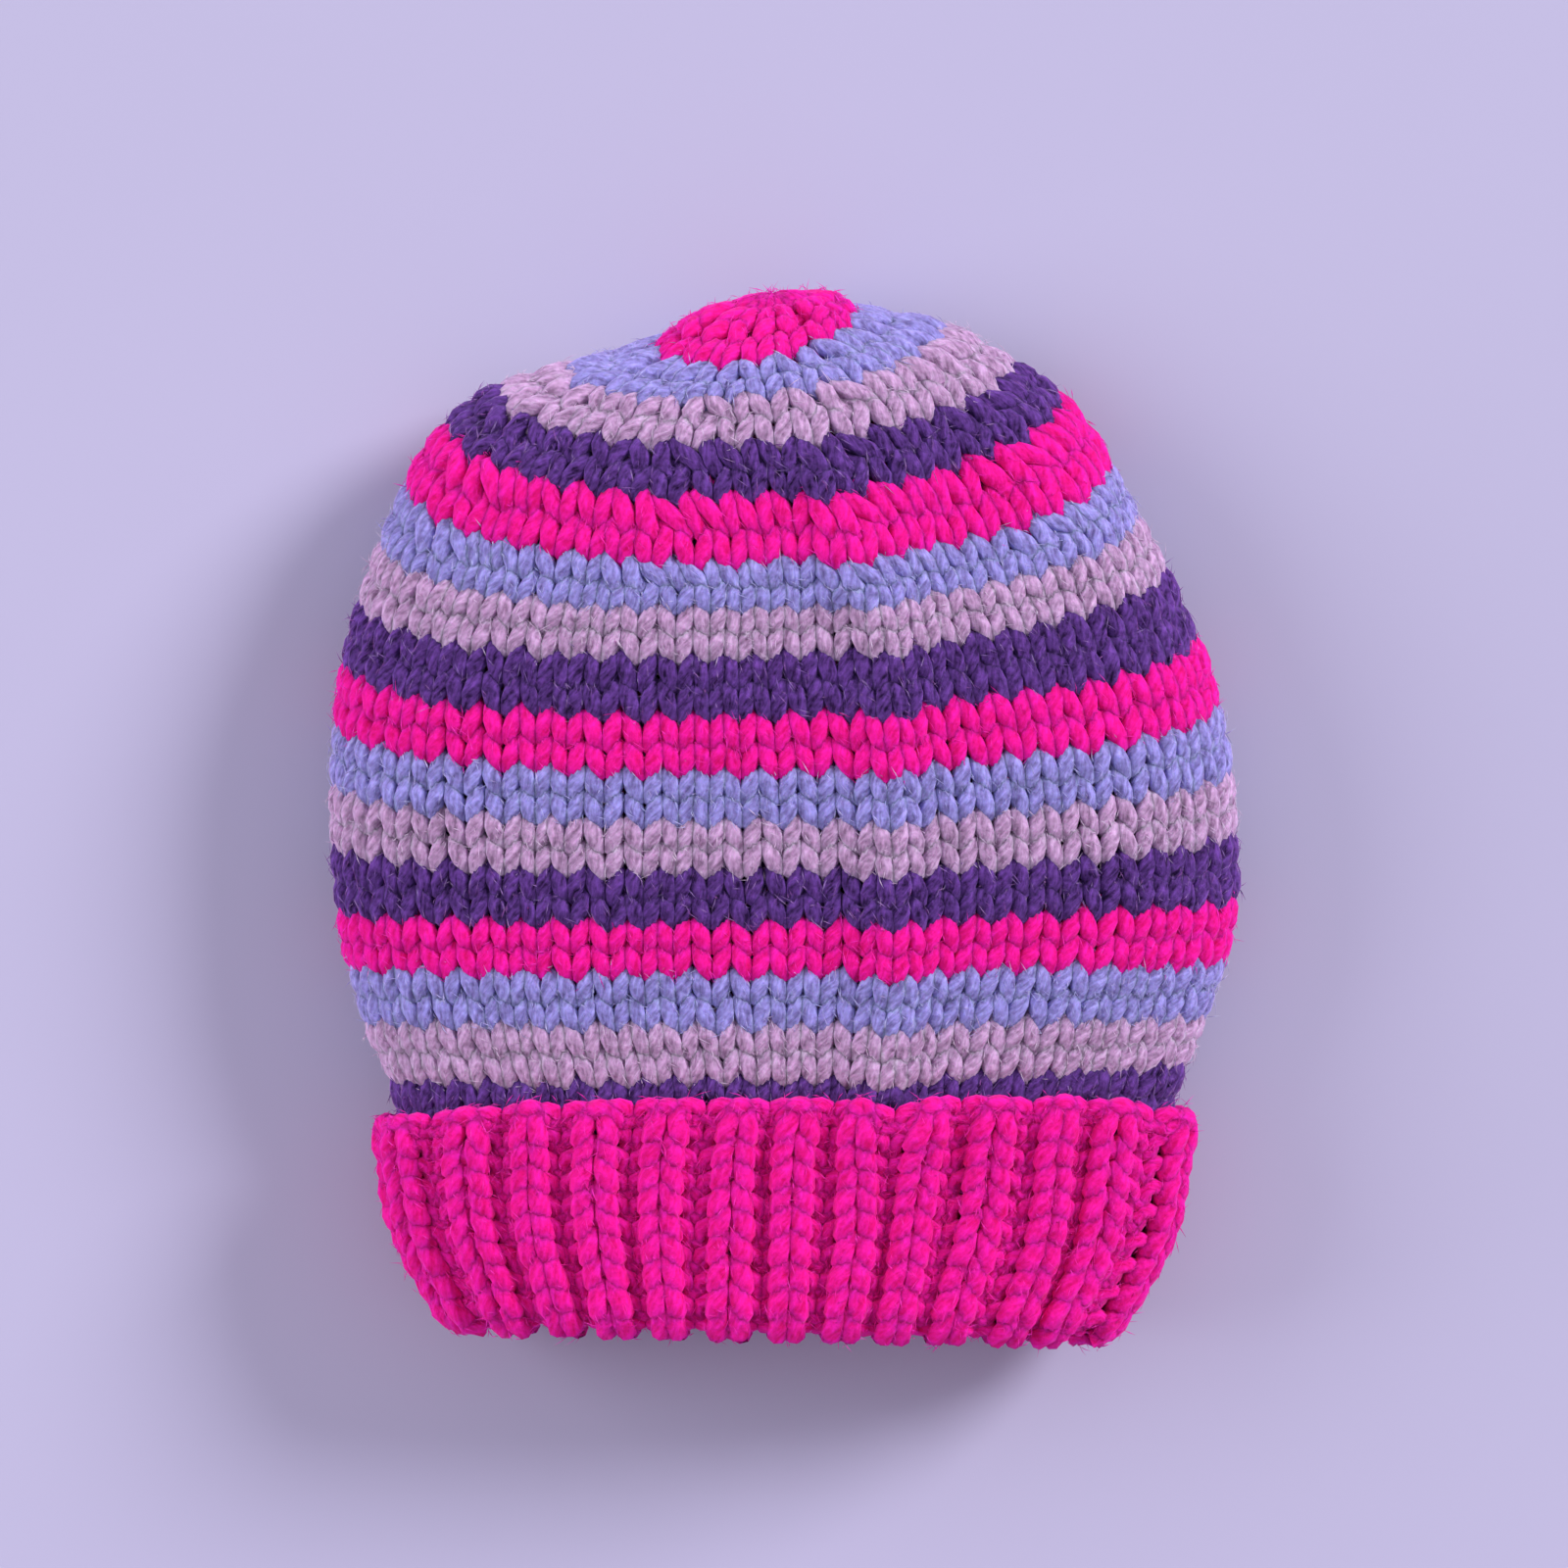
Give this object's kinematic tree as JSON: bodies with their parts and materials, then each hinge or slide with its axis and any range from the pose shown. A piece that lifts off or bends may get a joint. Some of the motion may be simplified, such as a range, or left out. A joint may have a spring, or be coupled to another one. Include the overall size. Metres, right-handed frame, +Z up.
{
  "type": "knitted beanie",
  "caption": "Slouched hand-knitted hat in narrow stripes with a closed gathered crown and a turned-up ribbed cuff, lying on its back.",
  "frame": {"origin": "middle of the hat's outline, on the surface it lies on", "axes": "+Y from the head opening towards the crown, +X across the hat, +Z up from the surface it lies on"},
  "size_m": [0.1997, 0.2303, 0.0543],
  "materials": {
    "pink_yarn": "soft brushed acrylic yarn, hot pink",
    "blue_yarn": "soft brushed acrylic yarn, periwinkle blue",
    "lilac_yarn": "soft brushed acrylic yarn, light lilac",
    "purple_yarn": "soft brushed acrylic yarn, dark purple"
  },
  "bodies": {
    "root": {"rib_cuff": "pink_yarn", "stripe_01_purple": "purple_yarn", "stripe_02_lilac": "lilac_yarn", "stripe_03_blue": "blue_yarn", "stripe_04_pink": "pink_yarn", "stripe_05_purple": "purple_yarn", "stripe_06_lilac": "lilac_yarn", "stripe_07_blue": "blue_yarn", "stripe_08_pink": "pink_yarn", "stripe_09_purple": "purple_yarn", "stripe_10_lilac": "lilac_yarn", "stripe_11_blue": "blue_yarn", "stripe_12_pink": "pink_yarn", "stripe_13_purple": "purple_yarn", "stripe_14_lilac": "lilac_yarn", "stripe_15_blue": "blue_yarn", "crown_end_pink": "pink_yarn"}
  },
  "joints": []
}
